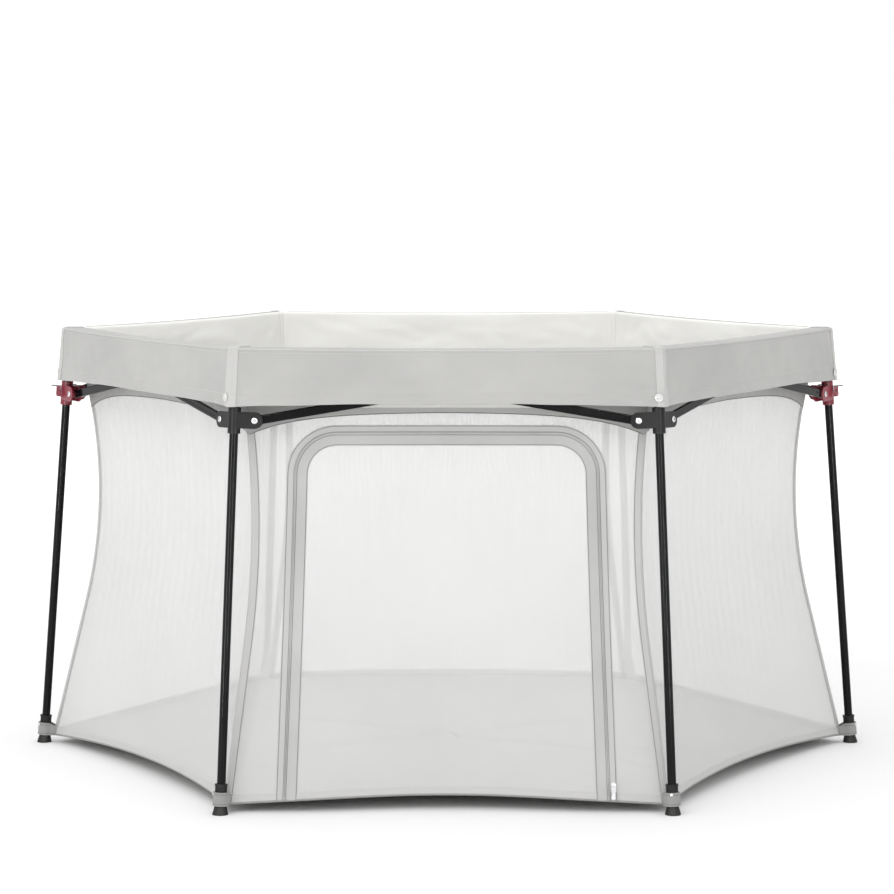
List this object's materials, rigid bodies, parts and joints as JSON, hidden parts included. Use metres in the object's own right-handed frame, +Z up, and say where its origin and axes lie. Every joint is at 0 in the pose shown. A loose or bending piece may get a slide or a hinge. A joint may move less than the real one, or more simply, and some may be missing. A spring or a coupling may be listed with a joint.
{
  "type": "travel play yard",
  "caption": "Folding hexagonal play yard with black splayed legs, scissor sides under a pale rim band, white mesh walls, cloth floor and a zipped door.",
  "frame": {"origin": "on the ground at the centre of the six feet", "axes": "+Z up, the door side faces -Y, +X to the right corner leg"},
  "size_m": [1.356, 1.1774, 0.686],
  "materials": {
    "frame_paint": "gloss black paint on steel tube",
    "hub_plastic": "black moulded plastic",
    "lock_red": "dark red moulded plastic",
    "foot_rubber": "black rubber",
    "band_cloth": "pale grey plain weave",
    "wall_mesh": "fine white mesh",
    "floor_cloth": "light grey plain weave",
    "zip_metal": "bright nickel"
  },
  "bodies": {
    "leg_right": {"leg_tube_right": "frame_paint", "top_hub_right": "hub_plastic", "foot_right": "foot_rubber", "wall_right_back": "wall_mesh", "band_right_back": "band_cloth"},
    "slider_right": {"slider_right": "lock_red"},
    "leg_back_right": {"leg_tube_back_right": "frame_paint", "top_hub_back_right": "hub_plastic", "foot_back_right": "foot_rubber", "wall_back": "wall_mesh", "band_back": "band_cloth"},
    "slider_back_right": {"slider_back_right": "hub_plastic"},
    "leg_back_left": {"leg_tube_back_left": "frame_paint", "top_hub_back_left": "hub_plastic", "foot_back_left": "foot_rubber", "wall_left_back": "wall_mesh", "band_left_back": "band_cloth"},
    "slider_back_left": {"slider_back_left": "hub_plastic"},
    "leg_left": {"leg_tube_left": "frame_paint", "top_hub_left": "hub_plastic", "foot_left": "foot_rubber", "wall_left_front": "wall_mesh", "band_left_front": "band_cloth"},
    "slider_left": {"slider_left": "lock_red"},
    "leg_front_left": {"leg_tube_front_left": "frame_paint", "top_hub_front_left": "hub_plastic", "foot_front_left": "foot_rubber", "wall_front": "wall_mesh", "band_front": "band_cloth"},
    "slider_front_left": {"slider_front_left": "hub_plastic"},
    "leg_front_right": {"leg_tube_front_right": "frame_paint", "top_hub_front_right": "hub_plastic", "foot_front_right": "foot_rubber", "wall_right_front": "wall_mesh", "band_right_front": "band_cloth"},
    "slider_front_right": {"slider_front_right": "hub_plastic"},
    "bar_outer_right_back": {"bar_outer_right_back": "frame_paint"},
    "bar_inner_right_back": {"bar_inner_right_back": "frame_paint"},
    "floor_right_back": {"floor_right_back": "floor_cloth"},
    "bar_outer_back": {"bar_outer_back": "frame_paint"},
    "bar_inner_back": {"bar_inner_back": "frame_paint"},
    "floor_back": {"floor_back": "floor_cloth"},
    "bar_outer_left_back": {"bar_outer_left_back": "frame_paint"},
    "bar_inner_left_back": {"bar_inner_left_back": "frame_paint"},
    "floor_left_back": {"floor_left_back": "floor_cloth"},
    "bar_outer_left_front": {"bar_outer_left_front": "frame_paint"},
    "bar_inner_left_front": {"bar_inner_left_front": "frame_paint"},
    "floor_left_front": {"floor_left_front": "floor_cloth"},
    "bar_outer_front": {"bar_outer_front": "frame_paint"},
    "bar_inner_front": {"bar_inner_front": "frame_paint"},
    "floor_front": {"floor_front": "floor_cloth"},
    "bar_outer_right_front": {"bar_outer_right_front": "frame_paint"},
    "bar_inner_right_front": {"bar_inner_right_front": "frame_paint"},
    "floor_right_front": {"floor_right_front": "floor_cloth"},
    "door": {"door_panel": "wall_mesh"},
    "zipper_slider": {"zipper_slider": "zip_metal"},
    "zipper_pull": {"zipper_pull": "zip_metal"},
    "release_lever_right": {"release_lever_right": "lock_red"},
    "release_lever_left": {"release_lever_left": "lock_red"}
  },
  "joints": [
    {"name": "fold", "type": "hinge", "parent": "leg_front_left", "child": "bar_outer_front", "pos_m": [-0.27771, -0.53301, 0.672], "axis": [0, 0.9979, -0.065], "range_deg": [0, 74], "deforming": ["wall_right_back", "wall_back", "wall_left_back", "wall_left_front", "wall_front", "wall_right_front", "band_right_back", "band_back", "band_left_back", "band_left_front", "band_front", "band_right_front", "floor_right_back", "floor_back", "floor_left_back", "floor_left_front", "floor_front", "floor_right_front", "door_panel"]},
    {"name": "cross_pivot_front", "type": "hinge", "parent": "bar_outer_front", "child": "bar_inner_front", "pos_m": [0, -0.53676, 0.61454], "axis": [0, -0.9979, 0.065], "range_deg": [0, 148]},
    {"name": "hub_pivot_leg_front_right", "type": "hinge", "parent": "bar_inner_front", "child": "leg_front_right", "pos_m": [0.27771, -0.53301, 0.672], "axis": [0, 0.9979, -0.065], "range_deg": [0, 74]},
    {"name": "slider_pivot_front_right", "type": "hinge", "parent": "bar_outer_front", "child": "slider_front_right", "pos_m": [0.28125, -0.53914, 0.578], "axis": [0, -0.9979, 0.065], "range_deg": [0, 74]},
    {"name": "hub_pivot_bar_outer_right_front", "type": "hinge", "parent": "leg_front_right", "child": "bar_outer_right_front", "pos_m": [0.32275, -0.50702, 0.672], "axis": [-0.8642, 0.4989, -0.065], "range_deg": [0, 74]},
    {"name": "cross_pivot_right_front", "type": "hinge", "parent": "bar_outer_right_front", "child": "bar_inner_right_front", "pos_m": [0.46484, -0.26838, 0.61454], "axis": [0.8642, -0.4989, 0.065], "range_deg": [0, 148]},
    {"name": "hub_pivot_leg_right", "type": "hinge", "parent": "bar_inner_right_front", "child": "leg_right", "pos_m": [0.60046, -0.026, 0.672], "axis": [-0.8642, 0.4989, -0.065], "range_deg": [0, 74]},
    {"name": "slider_pivot_right", "type": "hinge", "parent": "bar_outer_right_front", "child": "slider_right", "pos_m": [0.60753, -0.026, 0.578], "axis": [0.8642, -0.4989, 0.065], "range_deg": [0, 74]},
    {"name": "hub_pivot_bar_outer_right_back", "type": "hinge", "parent": "leg_right", "child": "bar_outer_right_back", "pos_m": [0.60046, 0.026, 0.672], "axis": [-0.8642, -0.4989, -0.065], "range_deg": [0, 74]},
    {"name": "cross_pivot_right_back", "type": "hinge", "parent": "bar_outer_right_back", "child": "bar_inner_right_back", "pos_m": [0.46484, 0.26838, 0.61454], "axis": [0.8642, 0.4989, 0.065], "range_deg": [0, 148]},
    {"name": "hub_pivot_leg_back_right", "type": "hinge", "parent": "bar_inner_right_back", "child": "leg_back_right", "pos_m": [0.32275, 0.50702, 0.672], "axis": [-0.8642, -0.4989, -0.065], "range_deg": [0, 74]},
    {"name": "slider_pivot_back_right", "type": "hinge", "parent": "bar_outer_right_back", "child": "slider_back_right", "pos_m": [0.32628, 0.51314, 0.578], "axis": [0.8642, 0.4989, 0.065], "range_deg": [0, 74]},
    {"name": "slider_pivot_front_left", "type": "hinge", "parent": "bar_inner_front", "child": "slider_front_left", "pos_m": [-0.28125, -0.53914, 0.578], "axis": [0, 0.9979, -0.065], "range_deg": [0, 74]},
    {"name": "hub_pivot_bar_inner_left_front", "type": "hinge", "parent": "leg_front_left", "child": "bar_inner_left_front", "pos_m": [-0.32275, -0.50702, 0.672], "axis": [-0.8642, -0.4989, 0.065], "range_deg": [0, 74]},
    {"name": "cross_pivot_left_front", "type": "hinge", "parent": "bar_inner_left_front", "child": "bar_outer_left_front", "pos_m": [-0.46484, -0.26838, 0.61454], "axis": [0.8642, 0.4989, -0.065], "range_deg": [0, 148]},
    {"name": "hub_pivot_leg_left", "type": "hinge", "parent": "bar_outer_left_front", "child": "leg_left", "pos_m": [-0.60046, -0.026, 0.672], "axis": [-0.8642, -0.4989, 0.065], "range_deg": [0, 74]},
    {"name": "slider_pivot_left", "type": "hinge", "parent": "bar_inner_left_front", "child": "slider_left", "pos_m": [-0.60753, -0.026, 0.578], "axis": [0.8642, 0.4989, -0.065], "range_deg": [0, 74]},
    {"name": "hub_pivot_bar_inner_left_back", "type": "hinge", "parent": "leg_left", "child": "bar_inner_left_back", "pos_m": [-0.60046, 0.026, 0.672], "axis": [-0.8642, 0.4989, 0.065], "range_deg": [0, 74]},
    {"name": "cross_pivot_left_back", "type": "hinge", "parent": "bar_inner_left_back", "child": "bar_outer_left_back", "pos_m": [-0.46484, 0.26838, 0.61454], "axis": [0.8642, -0.4989, -0.065], "range_deg": [0, 148]},
    {"name": "hub_pivot_leg_back_left", "type": "hinge", "parent": "bar_outer_left_back", "child": "leg_back_left", "pos_m": [-0.32275, 0.50702, 0.672], "axis": [-0.8642, 0.4989, 0.065], "range_deg": [0, 74]},
    {"name": "slider_pivot_back_left", "type": "hinge", "parent": "bar_inner_left_back", "child": "slider_back_left", "pos_m": [-0.32628, 0.51314, 0.578], "axis": [0.8642, -0.4989, -0.065], "range_deg": [0, 74]},
    {"name": "hub_pivot_bar_outer_back", "type": "hinge", "parent": "leg_back_right", "child": "bar_outer_back", "pos_m": [0.27771, 0.53301, 0.672], "axis": [0, -0.9979, -0.065], "range_deg": [0, 74]},
    {"name": "hub_pivot_bar_inner_back", "type": "hinge", "parent": "leg_back_left", "child": "bar_inner_back", "pos_m": [-0.27771, 0.53301, 0.672], "axis": [0, 0.9979, 0.065], "range_deg": [0, 74]},
    {"name": "floor_crease_right_back", "type": "hinge", "parent": "leg_right", "child": "floor_right_back", "pos_m": [0.486, 0.28059, 0.01], "axis": [-0.5, 0.866, 0], "range_deg": [0, 77.99]},
    {"name": "floor_crease_back", "type": "hinge", "parent": "leg_back_right", "child": "floor_back", "pos_m": [0, 0.56118, 0.01], "axis": [-1, 0, 0], "range_deg": [0, 77.99]},
    {"name": "floor_crease_left_back", "type": "hinge", "parent": "leg_back_left", "child": "floor_left_back", "pos_m": [-0.486, 0.28059, 0.01], "axis": [-0.5, -0.866, 0], "range_deg": [0, 77.99]},
    {"name": "floor_crease_left_front", "type": "hinge", "parent": "leg_left", "child": "floor_left_front", "pos_m": [-0.486, -0.28059, 0.01], "axis": [0.5, -0.866, 0], "range_deg": [0, 77.99]},
    {"name": "floor_crease_front", "type": "hinge", "parent": "leg_front_left", "child": "floor_front", "pos_m": [0, -0.56118, 0.01], "axis": [1, 0, 0], "range_deg": [0, 77.99]},
    {"name": "floor_crease_right_front", "type": "hinge", "parent": "leg_front_right", "child": "floor_right_front", "pos_m": [0.486, -0.28059, 0.01], "axis": [0.5, 0.866, 0], "range_deg": [0, 77.99]},
    {"name": "door_flap", "type": "hinge", "parent": "leg_front_left", "child": "door", "pos_m": [0, -0.56292, 0.0136], "axis": [1, 0, 0], "range_deg": [0, 96]},
    {"name": "zip_run", "type": "slide", "parent": "leg_front_right", "child": "zipper_slider", "axis": [-0.0319, 0.1668, 0.9855], "range_m": [0, 0.369]},
    {"name": "pull_swing", "type": "hinge", "parent": "zipper_slider", "child": "zipper_pull", "pos_m": [0.246, -0.56442, 0.04144], "axis": [-1, 0, 0], "range_deg": [0, 120]},
    {"name": "release_right", "type": "hinge", "parent": "slider_right", "child": "release_lever_right", "pos_m": [0.63557, 0, 0.5781], "axis": [0, 1, 0], "range_deg": [0, 12], "stiffness_Nm_per_rad": 0.2},
    {"name": "release_left", "type": "hinge", "parent": "slider_left", "child": "release_lever_left", "pos_m": [-0.63557, 0, 0.5781], "axis": [0, -1, 0], "range_deg": [0, 12], "stiffness_Nm_per_rad": 0.2}
  ],
  "couplings": [
    {"joint": "cross_pivot_front", "follows": "fold", "ratio": 2},
    {"joint": "hub_pivot_leg_front_right", "follows": "fold", "ratio": 1},
    {"joint": "slider_pivot_front_right", "follows": "fold", "ratio": 1},
    {"joint": "hub_pivot_bar_outer_right_front", "follows": "fold", "ratio": 1},
    {"joint": "cross_pivot_right_front", "follows": "fold", "ratio": 2},
    {"joint": "hub_pivot_leg_right", "follows": "fold", "ratio": 1},
    {"joint": "slider_pivot_right", "follows": "fold", "ratio": 1},
    {"joint": "hub_pivot_bar_outer_right_back", "follows": "fold", "ratio": 1},
    {"joint": "cross_pivot_right_back", "follows": "fold", "ratio": 2},
    {"joint": "hub_pivot_leg_back_right", "follows": "fold", "ratio": 1},
    {"joint": "slider_pivot_back_right", "follows": "fold", "ratio": 1},
    {"joint": "slider_pivot_front_left", "follows": "fold", "ratio": 1},
    {"joint": "hub_pivot_bar_inner_left_front", "follows": "fold", "ratio": 1},
    {"joint": "cross_pivot_left_front", "follows": "fold", "ratio": 2},
    {"joint": "hub_pivot_leg_left", "follows": "fold", "ratio": 1},
    {"joint": "slider_pivot_left", "follows": "fold", "ratio": 1},
    {"joint": "hub_pivot_bar_inner_left_back", "follows": "fold", "ratio": 1},
    {"joint": "cross_pivot_left_back", "follows": "fold", "ratio": 2},
    {"joint": "hub_pivot_leg_back_left", "follows": "fold", "ratio": 1},
    {"joint": "slider_pivot_back_left", "follows": "fold", "ratio": 1},
    {"joint": "hub_pivot_bar_outer_back", "follows": "fold", "ratio": 1},
    {"joint": "hub_pivot_bar_inner_back", "follows": "fold", "ratio": 1},
    {"joint": "floor_crease_right_back", "follows": "fold", "ratio": 1.0538},
    {"joint": "floor_crease_back", "follows": "fold", "ratio": 1.0538},
    {"joint": "floor_crease_left_back", "follows": "fold", "ratio": 1.0538},
    {"joint": "floor_crease_left_front", "follows": "fold", "ratio": 1.0538},
    {"joint": "floor_crease_front", "follows": "fold", "ratio": 1.0538},
    {"joint": "floor_crease_right_front", "follows": "fold", "ratio": 1.0538}
  ]
}
